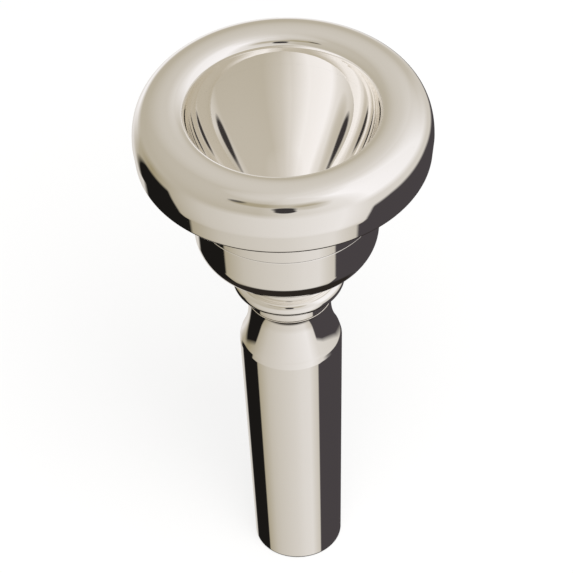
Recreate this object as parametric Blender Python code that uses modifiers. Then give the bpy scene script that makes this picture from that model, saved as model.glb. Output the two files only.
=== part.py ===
"""Screw-rim trombone mouthpiece: a rim, a cup and a shank, each one turned in brass.

The axis is Z. The origin is the centre of the shank's small end, and the rim faces up.
"""

import math

import bpy

# Shank, from its small end up to the neck
SHANK_END_DIAMETER = 0.0118
SHANK_TAPER = 0.05  # growth in diameter for each unit of length, 1 in 20
SHANK_LENGTH = 0.0382  # small end to shoulder
SHANK_END_WALL = 0.0010
SHANK_END_ROUND = 0.0004
SHOULDER_ROUND = 0.0006
COVE_RADIUS = 0.0058  # hollow curve from the shoulder up to the neck
NECK_LENGTH = 0.0041  # straight part between the cove and the cup

# Air passage through the shank
THROAT_DIAMETER = 0.0066
THROAT_LENGTH = 0.0050

# Screw joint between shank and cup
SHANK_TENON_WALL = 0.0012  # brass around the throat
SHANK_TENON_LENGTH = 0.0078
NECK_SEAT_WIDTH = 0.0009  # flat ring on the neck that the cup screws down on

# Outside of the cup, from the neck up
COLLAR_LENGTH = 0.0022
COLLAR_FILLET = 0.0005
BEAD_ROUND = 0.0011  # half-round bead standing out from the waist
WAIST_DIAMETER = 0.0128
WAIST_LENGTH = 0.0003
BODY_DIAMETER = 0.0243
BODY_ROUND = 0.00445  # round of the body's lower edge
BODY_TURN = 72  # degrees that the round goes before it sweeps in to the waist
BODY_HEIGHT = 0.0069
BODY_TOP_DIAMETER = 0.0249
FLARE_HEIGHT = 0.0058
FLARE_RADIUS = 0.0070
CUP_SHOULDER_WIDTH = 0.0011  # flat ring that the rim screws down on
THROAT_LIP = 0.0038  # brass left between the bowl's bottom and the shank's socket

# Inside of the bowl, as powers of a superellipse: 1 and 1 give a cone
# A width power under 1 lets the wall run smoothly into the throat
BOWL_DEPTH_POWER = 1.5
BOWL_WIDTH_POWER = 0.8

# Screw joint between cup and rim
RIM_TENON_WALL = 0.0023
RIM_TENON_LENGTH = 0.0044

# Rim
RIM_DIAMETER = 0.0390
RIM_INSIDE_DIAMETER = 0.0252
RIM_TOP_THICKNESS = 0.0037  # seat inside the rim up to the crest
CREST_OFFSET = 0.0024  # inner wall out to the highest ring of the rim
BITE_DROP = 0.0016  # crest down to where the inner wall begins
EDGE_DROP = 0.0052  # crest down to the widest ring
EDGE_POWER = 2.5  # 2 is an ellipse, higher is squarer
SKIRT_DRAFT = 0.0003  # how far the skirt draws in towards its lower edge
SKIRT_EDGE_ROUND = 0.0005

# Fits and small tool marks
THREAD_CLEARANCE = 0.00015  # between a tenon and its socket, on the radius
SEAT_GAP = 0.0001  # between two seated faces
TENON_END_GAP = 0.0002  # between the shank's tenon and the end of its socket
LEAD_CHAMFER = 0.0004
RELIEF_WIDTH = 0.0008  # run-out groove at the root of a thread
RELIEF_DEPTH = 0.0003
SEAM_CHAMFER = 0.00015

# Facets
TURN_STEPS = 60
ARC_STEP = math.radians(15)
BOWL_STEPS = 14
BACKBORE_STEPS = 6
MERGE_DISTANCE = 0.000001

# Finish: bright silver plate on every piece
SILVER = (0.86, 0.83, 0.78, 1.0)
SILVER_ROUGHNESS = 0.06

# Sizes that follow from those above
shank_end_radius = SHANK_END_DIAMETER / 2
shoulder_radius = shank_end_radius + SHANK_TAPER * SHANK_LENGTH / 2
throat_radius = THROAT_DIAMETER / 2
backbore_end_radius = shank_end_radius - SHANK_END_WALL
shank_tenon_radius = throat_radius + SHANK_TENON_WALL
shank_socket_radius = shank_tenon_radius + THREAD_CLEARANCE
neck_radius = shank_socket_radius + NECK_SEAT_WIDTH
cove_turn = math.acos(1 - (shoulder_radius - neck_radius) / COVE_RADIUS)
bowl_radius = RIM_INSIDE_DIAMETER / 2
rim_tenon_radius = bowl_radius + RIM_TENON_WALL
rim_socket_radius = rim_tenon_radius + THREAD_CLEARANCE
cup_shoulder_radius = rim_socket_radius + CUP_SHOULDER_WIDTH
rim_radius = RIM_DIAMETER / 2
skirt_end_radius = rim_radius - SKIRT_DRAFT
crest_radius = bowl_radius + CREST_OFFSET

# Heights above the shank's small end
cove_top = SHANK_LENGTH + COVE_RADIUS * math.sin(cove_turn)
neck_seat = cove_top + NECK_LENGTH
shank_tenon_top = neck_seat + SHANK_TENON_LENGTH
cup_bottom = neck_seat + SEAT_GAP
shank_socket_end = shank_tenon_top + TENON_END_GAP
bowl_bottom = shank_socket_end + THROAT_LIP
bead_middle = cup_bottom + COLLAR_LENGTH + BEAD_ROUND
waist_top = bead_middle + BEAD_ROUND + WAIST_LENGTH
body_turn = math.radians(BODY_TURN)
body_end_radius = BODY_DIAMETER / 2 - BODY_ROUND * (1 - math.cos(body_turn))
sweep_radius = (body_end_radius - WAIST_DIAMETER / 2) / (1 - math.cos(body_turn))
body_middle = waist_top + (sweep_radius + BODY_ROUND) * math.sin(body_turn)
body_top = body_middle + BODY_HEIGHT
cup_shoulder = body_top + FLARE_HEIGHT
rim_tenon_top = cup_shoulder + RIM_TENON_LENGTH
rim_bottom = cup_shoulder + SEAT_GAP
rim_seat = rim_tenon_top + SEAT_GAP
crest = rim_seat + RIM_TOP_THICKNESS
bowl_top = crest - BITE_DROP
widest_ring = crest - EDGE_DROP


def arc(centre, radii, start, end, power=2.0):
    """Points on an arc of a circle, ellipse or superellipse, between angles in degrees."""
    count = max(2, math.ceil(abs(math.radians(end - start)) / ARC_STEP))
    points = []
    for i in range(count + 1):
        angle = math.radians(start + (end - start) * i / count)
        across = math.copysign(abs(math.cos(angle)) ** (2 / power), math.cos(angle))
        up = math.copysign(abs(math.sin(angle)) ** (2 / power), math.sin(angle))
        points.append((centre[0] + radii[0] * across, centre[1] + radii[1] * up))
    return points


def rounded(before, corner, after, radius):
    """Points that round a corner of a profile with a circle of this radius."""
    ways = []
    for end in (before, after):
        across, up = end[0] - corner[0], end[1] - corner[1]
        length = math.hypot(across, up)
        ways.append((across / length, up / length, length))
    (ax, az, a_length), (bx, bz, b_length) = ways
    half = math.acos(max(-1.0, min(1.0, ax * bx + az * bz))) / 2
    setback = min(radius / math.tan(half), 0.45 * a_length, 0.45 * b_length)
    start = (corner[0] + ax * setback, corner[1] + az * setback)
    end = (corner[0] + bx * setback, corner[1] + bz * setback)
    count = max(2, math.ceil((math.pi - 2 * half) / ARC_STEP))
    points = []
    for i in range(count + 1):
        t = i / count
        weights = ((1 - t) ** 2, 2 * t * (1 - t), t**2)
        points.append(
            tuple(sum(w * p[k] for w, p in zip(weights, (start, corner, end))) for k in (0, 1))
        )
    return points


def bowl_width(height):
    """Inside radius of the bowl at a height between its bottom and its top."""
    depth = (bowl_top - height) / (bowl_top - bowl_bottom)
    share = max(0.0, 1 - depth**BOWL_DEPTH_POWER) ** (1 / BOWL_WIDTH_POWER)
    return throat_radius + (bowl_radius - throat_radius) * share


def bowl_wall(low, high, count):
    """Points up the inside of the bowl, closer together towards its bottom."""
    turns = [math.pi / 2 * i / count for i in range(count + 1)]
    heights = [low + (high - low) * (1 - math.cos(turn)) for turn in turns]
    return [(bowl_width(height), height) for height in heights]


def tenon(radius, root, top):
    """Outside of a threaded tenon, from its top edge down to its run-out groove."""
    groove_top = root + RELIEF_WIDTH
    return [
        (radius - LEAD_CHAMFER, top),
        (radius, top - LEAD_CHAMFER),
        (radius, groove_top),
        (radius - RELIEF_DEPTH, groove_top - RELIEF_DEPTH),
        (radius - RELIEF_DEPTH, root),
    ]


def socket(radius, mouth, end):
    """Inside of a threaded socket, from its mouth up to its run-out groove."""
    groove_bottom = end - RELIEF_WIDTH
    return [
        (radius + LEAD_CHAMFER, mouth),
        (radius, mouth + LEAD_CHAMFER),
        (radius, groove_bottom),
        (radius + RELIEF_DEPTH, groove_bottom + RELIEF_DEPTH),
        (radius + RELIEF_DEPTH, end),
    ]


def shank_profile():
    """The shank: tenon, neck, cove, taper, then back up through the backbore and throat."""
    cove_end = math.degrees(cove_turn)
    cove_centre = (neck_radius + COVE_RADIUS, cove_top)
    cove = arc(cove_centre, (COVE_RADIUS, COVE_RADIUS), 180, 180 + cove_end)
    shoulder = (shoulder_radius, SHANK_LENGTH)
    small_end = (shank_end_radius, 0.0)
    end_inside = (backbore_end_radius, 0.0)
    throat_end = shank_tenon_top - THROAT_LENGTH
    backbore = []
    for i in range(BACKBORE_STEPS + 1):
        share = i / BACKBORE_STEPS
        swell = math.sin(share * math.pi / 2)  # opens quickly below the throat, then slowly
        radius = throat_radius + (backbore_end_radius - throat_radius) * swell
        backbore.append((radius, throat_end * (1 - share)))
    return [
        (throat_radius, shank_tenon_top),
        *tenon(shank_tenon_radius, neck_seat, shank_tenon_top),
        (neck_radius - SEAM_CHAMFER, neck_seat),
        (neck_radius, neck_seat - SEAM_CHAMFER),
        *cove[:-1],
        *rounded(cove[-2], shoulder, small_end, SHOULDER_ROUND),
        *rounded(shoulder, small_end, end_inside, SHANK_END_ROUND),
        *reversed(backbore),
    ]


def cup_profile():
    """The cup: tenon, flare, body, bead and collar, then back up through the bowl."""
    flare_width = cup_shoulder_radius - BODY_TOP_DIAMETER / 2
    chord = math.hypot(flare_width, FLARE_HEIGHT)
    chord_angle = math.atan2(FLARE_HEIGHT, flare_width)
    half_turn = math.asin(min(1.0, chord / (2 * FLARE_RADIUS)))
    flare_start = math.degrees(chord_angle + half_turn + math.pi / 2)
    flare_end = math.degrees(chord_angle - half_turn + math.pi / 2)
    flare_centre = (
        cup_shoulder_radius - FLARE_RADIUS * math.cos(math.radians(flare_end)),
        cup_shoulder - FLARE_RADIUS * math.sin(math.radians(flare_end)),
    )
    flare = arc(flare_centre, (FLARE_RADIUS, FLARE_RADIUS), flare_end, flare_start)

    round_centre = (BODY_DIAMETER / 2 - BODY_ROUND, body_middle)
    body = arc(round_centre, (BODY_ROUND, BODY_ROUND), 0, -BODY_TURN)
    sweep_centre = (WAIST_DIAMETER / 2 + sweep_radius, waist_top)
    sweep = arc(sweep_centre, (sweep_radius, sweep_radius), 180 - BODY_TURN, 180)
    bead = arc((WAIST_DIAMETER / 2, bead_middle), (BEAD_ROUND, BEAD_ROUND), 90, -90)
    collar_corner = (neck_radius, bead_middle - BEAD_ROUND)
    collar_foot = (neck_radius, cup_bottom + SEAM_CHAMFER)
    return [
        (bowl_width(rim_tenon_top), rim_tenon_top),
        *tenon(rim_tenon_radius, cup_shoulder, rim_tenon_top),
        *flare,
        *body,
        *sweep[1:],
        *bead,
        *rounded(bead[-1], collar_corner, collar_foot, COLLAR_FILLET),
        collar_foot,
        (neck_radius - SEAM_CHAMFER, cup_bottom),
        *socket(shank_socket_radius, cup_bottom, shank_socket_end),
        (throat_radius, shank_socket_end),
        *bowl_wall(bowl_bottom, rim_tenon_top, BOWL_STEPS)[:-1],
    ]


def rim_profile():
    """The rim: crest, rounded edge and skirt, then back up through the socket and the bite."""
    edge_radii = (rim_radius - crest_radius, EDGE_DROP)
    edge = arc((crest_radius, widest_ring), edge_radii, 90, 0, EDGE_POWER)
    skirt_foot = (skirt_end_radius, rim_bottom)
    mouth = (rim_socket_radius + LEAD_CHAMFER, rim_bottom)
    bite = arc((crest_radius, bowl_top), (CREST_OFFSET, BITE_DROP), 180, 90)
    return [
        *edge,
        *rounded(edge[-1], skirt_foot, mouth, SKIRT_EDGE_ROUND),
        *socket(rim_socket_radius, rim_bottom, rim_seat),
        (bowl_width(rim_seat), rim_seat),
        *bite[:-1],
    ]


def silver_plate(name):
    """Bright silver plating over brass."""
    material = bpy.data.materials.new(name)
    material.use_nodes = True
    shader = material.node_tree.nodes["Principled BSDF"]
    shader.inputs["Base Color"].default_value = SILVER
    shader.inputs["Metallic"].default_value = 1.0
    shader.inputs["Roughness"].default_value = SILVER_ROUGHNESS
    return material


def turned(name, profile, collection):
    """A closed profile of (radius, height) points, turned once round the Z axis."""
    mesh = bpy.data.meshes.new(name)
    corners = [(radius, 0.0, height) for radius, height in profile]
    edges = [(i, (i + 1) % len(corners)) for i in range(len(corners))]
    mesh.from_pydata(corners, edges, [])
    piece = bpy.data.objects.new(name, mesh)
    collection.objects.link(piece)
    piece.data.materials.append(silver_plate(name + "_silver"))
    screw = piece.modifiers.new("turn", "SCREW")
    screw.axis = "Z"
    screw.angle = math.tau
    screw.steps = TURN_STEPS
    screw.render_steps = TURN_STEPS
    screw.use_merge_vertices = True
    screw.merge_threshold = MERGE_DISTANCE
    screw.use_smooth_shade = True
    return piece


def clear_scene():
    for item in list(bpy.data.objects):
        bpy.data.objects.remove(item, do_unlink=True)


def main():
    clear_scene()
    collection = bpy.data.collections.new("mouthpiece")
    bpy.context.scene.collection.children.link(collection)
    turned("shank", shank_profile(), collection)
    turned("cup", cup_profile(), collection)
    turned("rim", rim_profile(), collection)


main()
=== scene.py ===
import bpy
import math
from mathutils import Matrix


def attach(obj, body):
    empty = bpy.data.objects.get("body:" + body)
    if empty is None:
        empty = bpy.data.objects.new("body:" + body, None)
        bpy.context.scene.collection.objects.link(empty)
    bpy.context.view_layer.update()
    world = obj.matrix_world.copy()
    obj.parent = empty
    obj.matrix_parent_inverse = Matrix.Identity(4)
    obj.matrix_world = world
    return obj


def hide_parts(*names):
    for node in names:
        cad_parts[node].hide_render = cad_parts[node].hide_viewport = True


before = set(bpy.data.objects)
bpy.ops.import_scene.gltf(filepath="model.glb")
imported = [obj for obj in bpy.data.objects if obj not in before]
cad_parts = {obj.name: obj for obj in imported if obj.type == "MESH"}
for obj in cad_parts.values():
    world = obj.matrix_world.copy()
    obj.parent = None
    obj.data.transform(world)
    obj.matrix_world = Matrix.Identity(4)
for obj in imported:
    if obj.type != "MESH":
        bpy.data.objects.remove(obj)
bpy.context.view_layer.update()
print("frame loaded:", sorted(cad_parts))


# Turning: a profile is drawn at +X as a chain of extruded points, then spun round Z

turning = {
    "spacing": 0.0006,  # of points along a straight run, with one more close to each end
    "endSpacing": 0.00005,
    "endShare": 0.2,
    "roundShare": 0.48,  # a round takes at most this share of the runs beside it
    "roundSteps": 8,
    "leastRun": 0.0001,
    "leastStep": 0.000004,
    "startSize": 0.001,
    "chainWeld": 0.000001,
    "spinWeld": 0.000002,
    "smoothDegrees": 28,
}


def arcPoints(centre, radii, start, end, count, power=2.0):
    points = []
    for i in range(count + 1):
        angle = math.radians(start + (end - start) * i / count)
        across = math.copysign(abs(math.cos(angle)) ** (2 / power), math.cos(angle))
        up = math.copysign(abs(math.sin(angle)) ** (2 / power), math.sin(angle))
        points.append((centre[0] + radii[0] * across, centre[1] + radii[1] * up))
    return points


def straight(start, end):
    # the points close to each end keep the shading flat between them
    length = math.dist(start, end)
    close = min(turning["endSpacing"], length * turning["endShare"])
    count = max(1, round(length / turning["spacing"]))
    shares = [0, close / length] + [i / count for i in range(1, count)] + [1 - close / length, 1]
    return [tuple(a + (b - a) * t for a, b in zip(start, end)) for t in shares]


def rounded(before, corner, after, radius):
    count = turning["roundSteps"]
    ax, az = before[0] - corner[0], before[1] - corner[1]
    bx, bz = after[0] - corner[0], after[1] - corner[1]
    aLength, bLength = math.hypot(ax, az), math.hypot(bx, bz)
    ax, az, bx, bz = ax / aLength, az / aLength, bx / bLength, bz / bLength
    half = math.acos(ax * bx + az * bz) / 2
    setback = min(radius / math.tan(half), turning["roundShare"] * min(aLength, bLength))
    radius = setback * math.tan(half)
    mx, mz = ax + bx, az + bz
    scale = radius / math.sin(half) / math.hypot(mx, mz)
    cx, cz = corner[0] + mx * scale, corner[1] + mz * scale
    first = math.atan2(corner[1] + az * setback - cz, corner[0] + ax * setback - cx)
    last = math.atan2(corner[1] + bz * setback - cz, corner[0] + bx * setback - cx)
    turn = (last - first + math.pi) % math.tau - math.pi
    return [
        (cx + radius * math.cos(first + turn * i / count), cz + radius * math.sin(first + turn * i / count))
        for i in range(count + 1)
    ]


def outline(corners):
    # corners are (radius, height, round) or a list of ready points; straight runs join them
    anchors = [c[0] if isinstance(c, list) else c[:2] for c in corners]
    ends = [c[-1] if isinstance(c, list) else c[:2] for c in corners]
    runs = []
    for i, corner in enumerate(corners):
        if isinstance(corner, list):
            runs.append(corner)
        elif len(corner) > 2 and corner[2] > 0:
            runs.append(rounded(ends[i - 1], corner[:2], anchors[(i + 1) % len(corners)], corner[2]))
        else:
            runs.append([corner[:2]])
    points = []
    for i, run in enumerate(runs):
        points += run
        after = runs[(i + 1) % len(runs)][0]
        if math.dist(run[-1], after) > turning["leastRun"]:
            points += straight(run[-1], after)[1:-1]
    tidy = [points[0]]
    for point in points[1:]:
        if math.dist(point, tidy[-1]) > turning["leastStep"]:
            tidy.append(point)
    return tidy


def turned(name, points, steps):
    bpy.ops.object.select_all(action="DESELECT")
    bpy.ops.mesh.primitive_plane_add(size=turning["startSize"])
    piece = bpy.context.object
    piece.name = name
    bpy.ops.object.mode_set(mode="EDIT")
    bpy.ops.mesh.merge(type="CENTER")
    bpy.ops.transform.translate(value=(points[0][0], 0, points[0][1]))
    for last, point in zip(points, points[1:]):
        step = (point[0] - last[0], 0, point[1] - last[1])
        bpy.ops.mesh.extrude_region_move(TRANSFORM_OT_translate={"value": step})
    bpy.ops.mesh.select_all(action="SELECT")
    bpy.ops.mesh.remove_doubles(threshold=turning["chainWeld"])
    bpy.ops.mesh.select_all(action="DESELECT")
    bpy.ops.object.mode_set(mode="OBJECT")
    mesh = piece.data
    uses = [0] * len(mesh.vertices)
    for edge in mesh.edges:
        for v in edge.vertices:
            uses[v] += 1
    for vertex, count in zip(mesh.vertices, uses):
        vertex.select = count == 1
    bpy.ops.object.mode_set(mode="EDIT")
    bpy.ops.mesh.edge_face_add()  # joins the two ends of the chain
    bpy.ops.mesh.select_all(action="SELECT")
    bpy.ops.mesh.spin(steps=steps, angle=math.tau, center=(0, 0, 0), axis=(0, 0, 1))
    bpy.ops.mesh.select_all(action="SELECT")
    bpy.ops.mesh.remove_doubles(threshold=turning["spinWeld"])
    bpy.ops.mesh.normals_make_consistent(inside=False)
    bpy.ops.object.mode_set(mode="OBJECT")
    bpy.ops.object.shade_smooth_by_angle(angle=math.radians(turning["smoothDegrees"]))
    print(name, len(points), "profile points,", len(mesh.polygons), "faces")
    return piece


bowl = {
    "top": 0.07798,
    "bottom": 0.057765,
    "radius": 0.0126,
    "throat": 0.0033,
    "depthPower": 1.5,
    "widthPower": 0.8,
}


def bowlRadius(height):
    depth = (bowl["top"] - height) / (bowl["top"] - bowl["bottom"])
    share = max(0.0, 1 - depth ** bowl["depthPower"]) ** (1 / bowl["widthPower"])
    return bowl["throat"] + (bowl["radius"] - bowl["throat"]) * share


def bowlWall(low, high, count):
    heights = [low + (high - low) * (1 - math.cos(math.pi / 2 * i / count)) for i in range(count + 1)]
    return [(bowlRadius(h), h) for h in heights]


rimSettings = {
    "radius": 0.0195,
    "footRadius": 0.0192,
    "crestRadius": 0.0150,
    "crest": 0.07958,
    "edgeDrop": 0.0052,
    "edgePower": 2.5,
    "biteDrop": 0.0016,
    "bitePower": 2.4,
    "foot": 0.07148,
    "footRound": 0.0005,
    "socketRadius": 0.01505,
    "threadDepth": 0.0004,
    "seat": 0.075783,
    "leadIn": 0.0004,
    "leadRound": 0.0001,
    "rootRound": 0.0002,
    "wallGap": 0.0002,
    "edgeSteps": 64,
    "biteSteps": 32,
    "wallSteps": 8,
    "steps": 240,
}


def makeRim(s):
    root = s["socketRadius"] + s["threadDepth"]
    edgeCentre = (s["crestRadius"], s["crest"] - s["edgeDrop"])
    edgeSize = (s["radius"] - s["crestRadius"], s["edgeDrop"])
    biteCentre = (s["crestRadius"], s["crest"] - s["biteDrop"])
    biteSize = (s["crestRadius"] - bowl["radius"], s["biteDrop"])
    points = outline([
        arcPoints(edgeCentre, edgeSize, 90, 0, s["edgeSteps"], s["edgePower"]),
        (s["footRadius"], s["foot"], s["footRound"]),
        (root + s["leadIn"], s["foot"], s["leadRound"]),
        (root, s["foot"] + s["leadIn"]),
        (root, s["seat"], s["rootRound"]),
        (bowlRadius(s["seat"]), s["seat"]),
        bowlWall(s["seat"] + s["wallGap"], bowl["top"], s["wallSteps"])[:-1],
        arcPoints(biteCentre, biteSize, 180, 90, s["biteSteps"], s["bitePower"])[:-1],
    ])
    return turned("rim_turned", points, s["steps"])


cupSettings = {
    "tenonRadius": 0.0149,
    "threadDepth": 0.0004,
    "tenonTop": 0.07578,
    "shoulder": 0.07138,
    "shoulderRadius": 0.01615,
    "flareRadius": 0.0070,
    "bodyTop": 0.06558,
    "bodyTopRadius": 0.01245,
    "bodyMiddle": 0.05868,
    "bodyRadius": 0.01215,
    "bodyRound": 0.00445,
    "bodyTurn": 72,
    "lineHeight": 0.0632,
    "lineWidth": 0.00007,
    "lineDepth": 0.00003,
    "waistTop": 0.050765,
    "waistRadius": 0.0064,
    "sweepRadius": 0.003871,
    "beadMiddle": 0.049365,
    "beadRound": 0.0011,
    "collarRadius": 0.00572,
    "collarFillet": 0.0004,
    "bottom": 0.046065,
    "seamChamfer": 0.00008,
    "socketRadius": 0.00465,
    "socketThread": 0.0003,
    "socketEnd": 0.053965,
    "socketRound": 0.0001,
    "leadIn": 0.0002,
    "leadRound": 0.00005,
    "tenonRound": 0.0003,
    "rootRound": 0.0002,
    "wallGap": 0.0002,
    "flareSteps": 24,
    "bodySteps": 36,
    "curveSteps": 32,
    "wallSteps": 48,
    "steps": 240,
}


def makeCup(s):
    width = s["shoulderRadius"] - s["bodyTopRadius"]
    height = s["shoulder"] - s["bodyTop"]
    chord = math.atan2(height, width)
    half = math.asin(math.hypot(width, height) / (2 * s["flareRadius"]))
    start, end = (math.degrees(chord - half) + 90, math.degrees(chord + half) + 90)
    centre = (
        s["shoulderRadius"] - s["flareRadius"] * math.cos(math.radians(start)),
        s["shoulder"] - s["flareRadius"] * math.sin(math.radians(start)),
    )
    flare = arcPoints(centre, (s["flareRadius"], s["flareRadius"]), start, end, s["flareSteps"])
    wallSlope = (s["bodyTopRadius"] - s["bodyRadius"]) / (s["bodyTop"] - s["bodyMiddle"])
    lineRadius = s["bodyRadius"] + wallSlope * (s["lineHeight"] - s["bodyMiddle"])
    line = [
        (lineRadius, s["lineHeight"] + s["lineWidth"]),
        (lineRadius - s["lineDepth"], s["lineHeight"]),
        (lineRadius, s["lineHeight"] - s["lineWidth"]),
    ]
    roundCentre = (s["bodyRadius"] - s["bodyRound"], s["bodyMiddle"])
    body = arcPoints(roundCentre, (s["bodyRound"], s["bodyRound"]), 0, -s["bodyTurn"], s["bodySteps"])
    sweepCentre = (s["waistRadius"] + s["sweepRadius"], s["waistTop"])
    sweepSize = (s["sweepRadius"], s["sweepRadius"])
    sweep = arcPoints(sweepCentre, sweepSize, 180 - s["bodyTurn"], 180, s["curveSteps"])
    beadSize = (s["beadRound"], s["beadRound"])
    bead = arcPoints((s["waistRadius"], s["beadMiddle"]), beadSize, 90, -90, s["curveSteps"])
    root = s["tenonRadius"] - s["threadDepth"]
    socket = s["socketRadius"] + s["socketThread"]
    points = outline([
        (bowlRadius(s["tenonTop"]), s["tenonTop"]),
        (root, s["tenonTop"], s["tenonRound"]),
        (root, s["shoulder"], s["rootRound"]),
        flare,
        line,
        body,
        sweep[1:],
        bead,
        (s["collarRadius"], s["beadMiddle"] - s["beadRound"], s["collarFillet"]),
        (s["collarRadius"], s["bottom"], s["seamChamfer"]),
        (socket + s["leadIn"], s["bottom"], s["leadRound"]),
        (socket, s["bottom"] + s["leadIn"]),
        (socket, s["socketEnd"], s["socketRound"]),
        (bowl["throat"], s["socketEnd"]),
        bowlWall(bowl["bottom"], s["tenonTop"] - s["wallGap"], s["wallSteps"]),
    ])
    return turned("cup_turned", points, s["steps"])


shankSettings = {
    "tenonRadius": 0.0045,
    "threadDepth": 0.0003,
    "tenonTop": 0.053765,
    "neckSeat": 0.045965,
    "seamChamfer": 0.00008,
    "waist": 0.0440,
    "waistRadius": 0.00553,
    "curveAbove": 0.0105,
    "curveBelow": 0.0120,
    "shoulder": 0.0382,
    "shoulderRadius": 0.006855,
    "shoulderRound": 0.0006,
    "endRadius": 0.0059,
    "endRound": 0.0004,
    "boreEnd": 0.0049,
    "throatLength": 0.0050,
    "tenonRound": 0.0002,
    "rootRound": 0.0001,
    "boreRound": 0.0001,
    "stepsAbove": 20,
    "stepsBelow": 32,
    "boreSteps": 40,
    "steps": 192,
}


def makeShank(s):
    above, below = s["curveAbove"], s["curveBelow"]
    rise = math.degrees(math.asin((s["neckSeat"] - s["waist"]) / above))
    fall = math.degrees(math.acos(1 - (s["shoulderRadius"] - s["waistRadius"]) / below))
    aboveCentre = (s["waistRadius"] + above, s["waist"])
    belowCentre = (s["waistRadius"] + below, s["waist"])
    neck = arcPoints(aboveCentre, (above, above), 180 - rise, 180, s["stepsAbove"])
    neck += arcPoints(belowCentre, (below, below), 180, 180 + fall, s["stepsBelow"])[1:]
    throatEnd = s["tenonTop"] - s["throatLength"]
    bore = []
    for i in range(s["boreSteps"] + 1):
        share = i / s["boreSteps"]
        swell = math.sin(share * math.pi / 2)
        bore.append((bowl["throat"] + (s["boreEnd"] - bowl["throat"]) * swell, throatEnd * (1 - share)))
    root = s["tenonRadius"] - s["threadDepth"]
    points = outline([
        (bowl["throat"], s["tenonTop"], s["boreRound"]),
        (root, s["tenonTop"], s["tenonRound"]),
        (root, s["neckSeat"], s["rootRound"]),
        (neck[0][0], s["neckSeat"], s["seamChamfer"]),
        neck[2:-2],  # the rounds at both ends take the place of its end points
        (s["shoulderRadius"], s["shoulder"], s["shoulderRound"]),
        (s["endRadius"], 0.0, s["endRound"]),
        (s["boreEnd"], 0.0, s["boreRound"]),
        bore[-2::-1],
    ])
    return turned("shank_turned", points, s["steps"])


threadSettings = {
    "rim_thread": {"body": "rim", "root": 0.01548, "crest": 0.01505,
                   "low": 0.0721, "high": 0.0752, "pitch": 0.0008},
    "cup_thread": {"body": "cup", "root": 0.01447, "crest": 0.0149,
                   "low": 0.0722, "high": 0.0753, "pitch": 0.0008},
    "neck_thread": {"body": "cup", "root": 0.00498, "crest": 0.00465,
                    "low": 0.0466, "high": 0.0530, "pitch": 0.0006},
    "shank_thread": {"body": "shank", "root": 0.00417, "crest": 0.0045,
                     "low": 0.0468, "high": 0.0532, "pitch": 0.0006},
}
# a tooth's height at its root is a share of the pitch, and at its tip a share of that
toothForm = {"root": 0.86, "tip": 0.16, "steps": 72}


def makeThread(name, s):
    # one flat tooth at +X, screwed up round Z
    depth = s["crest"] - s["root"]
    height = s["pitch"] * toothForm["root"]
    bpy.ops.object.select_all(action="DESELECT")
    bpy.ops.mesh.primitive_plane_add(size=1)
    ridge = bpy.context.object
    ridge.name = name
    bpy.ops.object.mode_set(mode="EDIT")
    bpy.ops.transform.rotate(value=math.pi / 2, orient_axis="X", center_override=(0, 0, 0))
    bpy.ops.transform.resize(value=(abs(depth), 1, height))
    bpy.ops.transform.translate(value=(s["root"] + depth / 2, 0, s["low"] + height / 2))
    bpy.ops.mesh.select_all(action="DESELECT")
    bpy.ops.object.mode_set(mode="OBJECT")
    for vertex in ridge.data.vertices:
        vertex.select = abs(vertex.co.x - s["crest"]) < abs(depth) / 2
    bpy.ops.object.mode_set(mode="EDIT")
    middle = (s["crest"], 0, s["low"] + height / 2)
    bpy.ops.transform.resize(value=(1, 1, toothForm["tip"]), center_override=middle)
    bpy.ops.object.mode_set(mode="OBJECT")
    screw = ridge.modifiers.new("screw", "SCREW")
    screw.axis = "Z"
    screw.angle = math.tau
    screw.screw_offset = s["pitch"]
    screw.iterations = int((s["high"] - s["low"]) / s["pitch"] - toothForm["root"])
    screw.steps = screw.render_steps = toothForm["steps"]
    bpy.ops.object.modifier_apply(modifier="screw")
    bpy.ops.object.mode_set(mode="EDIT")
    bpy.ops.mesh.select_all(action="SELECT")
    bpy.ops.mesh.remove_doubles(threshold=turning["chainWeld"])
    bpy.ops.mesh.fill_holes(sides=0)
    bpy.ops.mesh.select_all(action="SELECT")
    bpy.ops.mesh.normals_make_consistent(inside=False)
    bpy.ops.object.mode_set(mode="OBJECT")
    bpy.ops.object.shade_smooth_by_angle(angle=math.radians(turning["smoothDegrees"]))
    print(name, len(ridge.data.polygons), "faces")
    return ridge


rim = makeRim(rimSettings)
cup = makeCup(cupSettings)
shank = makeShank(shankSettings)


# Shader writing: a Socket wraps an output, so that shader maths reads as plain expressions

class Socket:
    def __init__(self, tree, link):
        self.tree, self.link = tree, link

    def node(self, kind, settings=None, output=0, **inputs):
        made = self.tree.nodes.new(kind)
        for key, value in (settings or {}).items():
            if key == "stops":
                band = made.color_ramp.elements
                band[0].position, band[1].position = value[0][0], value[-1][0]
                for stop in value[1:-1]:
                    band.new(stop[0])
                for stop, (place, level) in zip(band, value):
                    stop.color = (level, level, level, 1.0)
            else:
                setattr(made, key, value)
        for key, value in inputs.items():
            slot = made.inputs[int(key[1:]) if key[1:].isdigit() else key.replace("_", " ")]
            if isinstance(value, Socket):
                self.tree.links.new(value.link, slot)
            else:
                slot.default_value = value
        return Socket(self.tree, made.outputs[output])

    def maths(self, operation, other):
        return self.node("ShaderNodeMath", {"operation": operation}, i0=self, i1=other)

    def __add__(self, other): return self.maths("ADD", other)
    def __radd__(self, other): return self.maths("ADD", other)
    def __sub__(self, other): return self.maths("SUBTRACT", other)
    def __mul__(self, other): return self.maths("MULTIPLY", other)
    def __rmul__(self, other): return self.maths("MULTIPLY", other)
    def __truediv__(self, other): return self.maths("DIVIDE", other)
    def __pow__(self, other): return self.maths("POWER", other)

    def __rsub__(self, other):
        return self.node("ShaderNodeMath", {"operation": "SUBTRACT"}, i0=other, i1=self)


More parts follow.
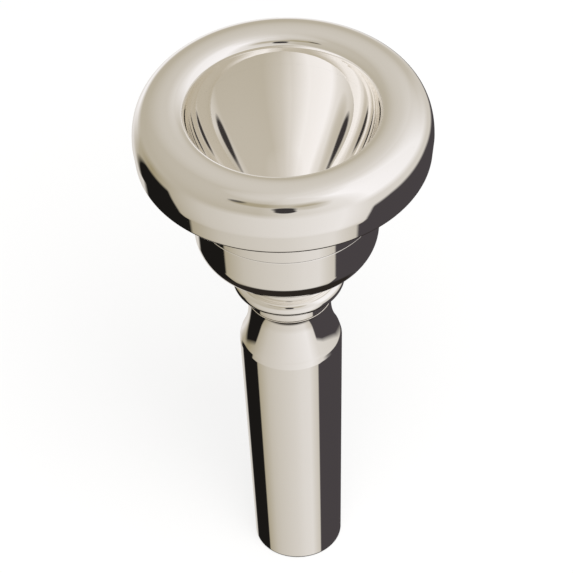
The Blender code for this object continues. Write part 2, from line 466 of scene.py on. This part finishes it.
def ramp(value, low, high):
    return value.node("ShaderNodeMapRange", Value=value, From_Min=low, From_Max=high)


def blendColour(factor, first, second):
    return factor.node("ShaderNodeMix", {"data_type": "RGBA"}, output=2, i0=factor, i6=first, i7=second)


silverSettings = {
    "bright": (0.985, 0.975, 0.955, 1.0),
    "warm": (0.965, 0.945, 0.91, 1.0),
    "cloudScale": 90.0,
    "cloudDetail": 3.0,
    "cloudShare": 0.5,
    "speckScale": 900.0,
    "speckDetail": 4.0,
    "speckShare": 0.12,
    "roughness": 0.018,
    "hazeRoughness": 0.03,
    "lineScale": 9000,
    "lineDetail": 2.0,
    "lineRoughness": 0.01,
    "lineBump": 0.02,
    "lineDepth": 0.00002,
    "tarnish": (0.80, 0.73, 0.60, 1.0),
    "tarnishShare": 0.8,
    "seams": ((0.046, 0.0052), (0.0714, 0.0150)),  # height, and the radius it starts at
    "seamReach": 0.0012,
    "seamEdge": 0.0003,
}


def silverPlate(name, s):
    material = bpy.data.materials.new(name)
    material.use_nodes = True
    tree = material.node_tree
    shader = tree.nodes["Principled BSDF"]
    place = Socket(tree, None).node("ShaderNodeTexCoord", output="Object")
    x, y, z = [place.node("ShaderNodeSeparateXYZ", output=i, Vector=place) for i in range(3)]
    radius = (x * x + y * y) ** 0.5
    cloud = place.node("ShaderNodeTexNoise", Vector=place, Scale=s["cloudScale"], Detail=s["cloudDetail"])
    speck = place.node("ShaderNodeTexNoise", Vector=place, Scale=s["speckScale"], Detail=s["speckDetail"])
    ring = place.node("ShaderNodeCombineXYZ", X=radius * s["lineScale"], Y=z * s["lineScale"])
    lines = place.node("ShaderNodeTexNoise", Vector=ring, Scale=1.0, Detail=s["lineDetail"])
    tone = blendColour(cloud * s["cloudShare"] + speck * s["speckShare"], s["bright"], s["warm"])
    for height, inside in s["seams"]:
        near = ramp((z - height).maths("ABSOLUTE", 0.0), s["seamReach"], 0.0)
        near = near * ramp(radius, inside - s["seamEdge"], inside)
        tone = blendColour(near * near * speck * s["tarnishShare"], tone, s["tarnish"])
    tree.links.new(tone.link, shader.inputs["Base Color"])
    haze = s["roughness"] + cloud * speck * s["hazeRoughness"] + lines * s["lineRoughness"]
    tree.links.new(haze.link, shader.inputs["Roughness"])
    bump = place.node("ShaderNodeBump", Height=lines, Strength=s["lineBump"], Distance=s["lineDepth"])
    tree.links.new(bump.link, shader.inputs["Normal"])
    shader.inputs["Metallic"].default_value = 1.0
    return material


for piece, node in ((rim, "rim"), (cup, "cup"), (shank, "shank")):
    piece.data.materials.clear()
    piece.data.materials.append(silverPlate(node + "_plate", silverSettings))
    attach(piece, node)
    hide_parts(node)
for name, settings in threadSettings.items():
    ridge = makeThread(name, settings)
    ridge.data.materials.clear()
    ridge.data.materials.append(bpy.data.materials[settings["body"] + "_plate"])
    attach(ridge, settings["body"])
print("pieces dressed")


# Studio: pale floor, soft light all round, and dark screens low at the sides that only the metal shows

studio = {
    "floorSize": 6.0,
    "floorCuts": 4,
    "floorColour": (0.86, 0.86, 0.86, 1.0),
    "floorRoughness": 0.9,
    "floorGlow": 0.7,
    "plainLight": (0.62, 0.61, 0.59, 1.0),
    "keyPower": 6.0,
    "keySize": 0.6,
    "keyPlace": (0.1, -0.35, 0.75),
    "keyTurn": (26, 7, 0),
}

# The tent is set by direction: turn is in degrees from the front, to the right, and height is
# the sine of the elevation; a pair of values is where a soft edge starts and where it ends
tent = {
    "shadeColour": (0.344, 0.294, 0.185, 1.0),
    "lightColour": (0.987, 0.966, 0.983, 1.0),
    # how light it is all round, as turn and level
    "upper": [(-180, 0.20), (-20, 0.25), (0, 0.45), (45, 0.70),
              (60, 0.95), (115, 0.85), (155, 0.30), (180, 0.20)],
    "lower": [(-180, 0.90), (-150, 0.95), (-125, 0.15), (-105, 0.0), (-60, 0.37),
              (40, 0.78), (60, 0.57), (160, 0.40), (180, 0.90)],
    "backRise": [(-180, 0.18), (-140, 0.0), (110, 0.0), (160, 0.27), (180, 0.18)],
    "backHeight": (0.30, 0.70),
    # the upper tent lightens with height, nears one level overhead and is shaded across the front
    "lift": {"height": (0.35, 0.95), "share": 0.11},
    "crown": {"height": (0.93, 1.0), "share": 0.8, "level": 0.55},
    "front": {"base": (0.70, 0.76), "top": (0.91, 0.85), "left": (-54, -42), "right": (44, 26),
              "share": 0.24},
    # the lower tent darkens downwards at the back left, and all round close to the foot
    "leftDip": {"height": (-0.25, -0.70), "turn": (-120, -135), "share": 0.40},
    "foot": {"height": (-0.65, -0.74), "share": 0.05, "middle": (-45, 0), "middleShare": 0.06,
             "right": (20, 50), "rightShare": 0.07},
    # the upper tent gives way to the lower by sink below a horizon, set as turn and height
    "horizon": [(-180, 0.35), (-120, 0.40), (-30, 0.65), (20, 0.60), (130, 0.40), (180, 0.35)],
    "sink": (-0.32, -0.60),
    "leftScreen": {"near": -88, "far": -113, "lean": 84, "top": -0.33, "droop": 0.0,
                   "colour": (0.010, 0.009, 0.008, 1.0)},
    "rightScreen": {"near": 63, "far": 175, "lean": 0, "top": -0.375, "droop": 0.10,
                    "colour": (0.062, 0.054, 0.058, 1.0)},
    "underneath": (-0.845, -0.885),
    "underColour": (0.024, 0.019, 0.016, 1.0),
    # a dark hole on the camera's side and dark folds beside it: direction, and outer and inner degrees
    "opening": {"way": (-0.02, -0.762, 0.647), "wide": 8.5, "narrow": 5.5},
    "openingFoot": {"way": (-0.01, -0.8435, 0.537), "wide": 8, "narrow": 6},
    "corner": {"way": (-0.418, -0.390, 0.820), "wide": 6, "narrow": 3},
    "cornerShare": 0.8,
    "fold": {"way": (0.244, -0.671, 0.700), "wide": 14, "narrow": 5},
    "foldShare": 0.26,
    "openingColour": (0.042, 0.037, 0.037, 1.0),
    "firstDepth": (2.6, 2.4),  # a first reflection meets the world at ray depth 2
}

screenEdge = {
    "near": (-1.5, 1.5),
    "far": (5, -3),
    "top": (0.05, -0.05),
    "droop": (120, 150),
    "slope": (78, 62),
    "slopeDrop": 0.06,
}


def floorMaterial(s):
    material = bpy.data.materials.new("floor_paper")
    material.use_nodes = True
    tree = material.node_tree
    shader = tree.nodes["Principled BSDF"]
    shader.inputs["Base Color"].default_value = s["floorColour"]
    shader.inputs["Roughness"].default_value = s["floorRoughness"]
    shader.inputs["Specular IOR Level"].default_value = 0.0
    start = Socket(tree, None)
    seen = start.node("ShaderNodeLightPath", output="Is Camera Ray")
    shine = start.node("ShaderNodeEmission", Color=(1, 1, 1, 1), Strength=1.0)
    paper = Socket(tree, shader.outputs[0])
    both = start.node("ShaderNodeMixShader", i0=seen * s["floorGlow"], i1=paper, i2=shine)
    tree.links.new(both.link, tree.nodes["Material Output"].inputs[0])
    return material


def allRound(turn, levels):
    stops = [(degrees / 360 + 0.5, level) for degrees, level in levels]
    return turn.node("ShaderNodeValToRGB", {"stops": stops}, Fac=turn / 360 + 0.5)


def towards(way, s):
    # 1 inside a cone round a direction, 0 outside it, soft between two angles
    aim = way.node("ShaderNodeVectorMath", {"operation": "DOT_PRODUCT"}, output="Value", i0=way, i1=s["way"])
    return ramp(aim, math.cos(math.radians(s["wide"])), math.cos(math.radians(s["narrow"])))


def screen(turn, z, s, side):
    # a dark card low down at one side; its far edge may lean outwards and its top may droop there
    edge = screenEdge
    outer = s["far"] * side + (s["top"] - z) * s["lean"]
    near = ramp(turn * side, s["near"] * side + edge["near"][0], s["near"] * side + edge["near"][1])
    far = ramp(turn * side - outer, *edge["far"])
    height = z + ramp(turn * side, *edge["droop"]) * s["droop"]
    height = height + ramp(turn * side, *edge["slope"]) * edge["slopeDrop"]
    return near * far * ramp(height, s["top"] + edge["top"][0], s["top"] + edge["top"][1])


def upperTent(way, turn, z, single, s):
    lift, crown, front = s["lift"], s["crown"], s["front"]
    level = allRound(turn, s["upper"]) + allRound(turn, s["backRise"]) * ramp(z, *s["backHeight"])
    level = level + (1 - level) * ramp(z, *lift["height"]) * lift["share"]
    level = level + (crown["level"] - level) * ramp(z, *crown["height"]) * crown["share"]
    shade = ramp(z, *front["base"]) * ramp(z, *front["top"])
    shade = shade * ramp(turn, *front["left"]) * ramp(turn, *front["right"])
    return level - shade * single * front["share"] - towards(way, s["fold"]) * s["foldShare"]


def lowerTent(turn, z, s):
    dip, foot = s["leftDip"], s["foot"]
    level = allRound(turn, s["lower"])
    level = level - ramp(z, *dip["height"]) * ramp(turn, *dip["turn"]) * dip["share"]
    dark = foot["share"] + ramp(turn, *foot["middle"]) * foot["middleShare"]
    dark = dark + ramp(turn, *foot["right"]) * foot["rightShare"]
    return level - ramp(z, *foot["height"]) * dark


def tentWorld(s, plainLight):
    world = bpy.data.worlds.new("tent")
    bpy.context.scene.world = world
    world.use_nodes = True
    tree = world.node_tree
    start = Socket(tree, None)
    way = start.node("ShaderNodeTexCoord", output="Generated")
    x, y, z = [way.node("ShaderNodeSeparateXYZ", output=i, Vector=way) for i in range(3)]
    turn = x.maths("ARCTAN2", y * -1) * math.degrees(1)
    single = ramp(start.node("ShaderNodeLightPath", output="Ray Depth"), *s["firstDepth"])
    upper = upperTent(way, turn, z, single, s)
    lower = lowerTent(turn, z, s)
    level = upper + (lower - upper) * ramp(z - allRound(turn, s["horizon"]), *s["sink"])
    light = blendColour(ramp(level, 0.0, 1.0), s["shadeColour"], s["lightColour"])
    light = blendColour(screen(turn, z, s["leftScreen"], -1), light, s["leftScreen"]["colour"])
    light = blendColour(screen(turn, z, s["rightScreen"], 1), light, s["rightScreen"]["colour"])
    light = blendColour(ramp(z, *s["underneath"]), light, s["underColour"])
    light = blendColour(towards(way, s["corner"]) * single * s["cornerShare"], light, s["openingColour"])
    light = blendColour(towards(way, s["openingFoot"]) * single, light, s["openingColour"])
    light = blendColour(towards(way, s["opening"]), light, s["openingColour"])
    gloss = start.node("ShaderNodeLightPath", output="Is Glossy Ray")
    light = blendColour(gloss, plainLight, light)
    tree.links.new(light.link, tree.nodes["Background"].inputs["Color"])


def makeStudio(s):
    bpy.ops.object.select_all(action="DESELECT")
    bpy.ops.mesh.primitive_plane_add(size=s["floorSize"])
    floor = bpy.context.object
    floor.name = "floor"
    bpy.ops.object.mode_set(mode="EDIT")
    bpy.ops.mesh.subdivide(number_cuts=s["floorCuts"])
    bpy.ops.object.mode_set(mode="OBJECT")
    floor.data.materials.append(floorMaterial(s))
    floor.visible_glossy = False
    tentWorld(tent, s["plainLight"])
    bpy.ops.object.light_add(type="AREA", location=s["keyPlace"])
    key = bpy.context.object
    key.name = "key"
    key.data.shape = "DISK"
    key.data.size = s["keySize"]
    key.data.energy = s["keyPower"]
    key.rotation_euler = [math.radians(a) for a in s["keyTurn"]]
    key.visible_glossy = False


makeStudio(studio)

cameraSettings = {
    "location": (0.0, -0.43200, 0.46776),
    "turn": (45.7389, 1.6340, -1.5456),
    "lens": 285.02,
    "sensor": 36,
    "clipStart": 0.01,
}


def makeCamera(s):
    data = bpy.data.cameras.new("camera")
    camera = bpy.data.objects.new("camera", data)
    bpy.context.scene.collection.objects.link(camera)
    camera.location = s["location"]
    camera.rotation_euler = [math.radians(a) for a in s["turn"]]
    data.lens = s["lens"]
    data.sensor_width = s["sensor"]
    data.clip_start = s["clipStart"]
    bpy.context.scene.camera = camera


makeCamera(cameraSettings)
bpy.context.scene.view_settings.view_transform = "Standard"
bpy.context.scene.cycles.glossy_bounces = 10  # the bowl throws its light to and fro
print("studio and camera set")
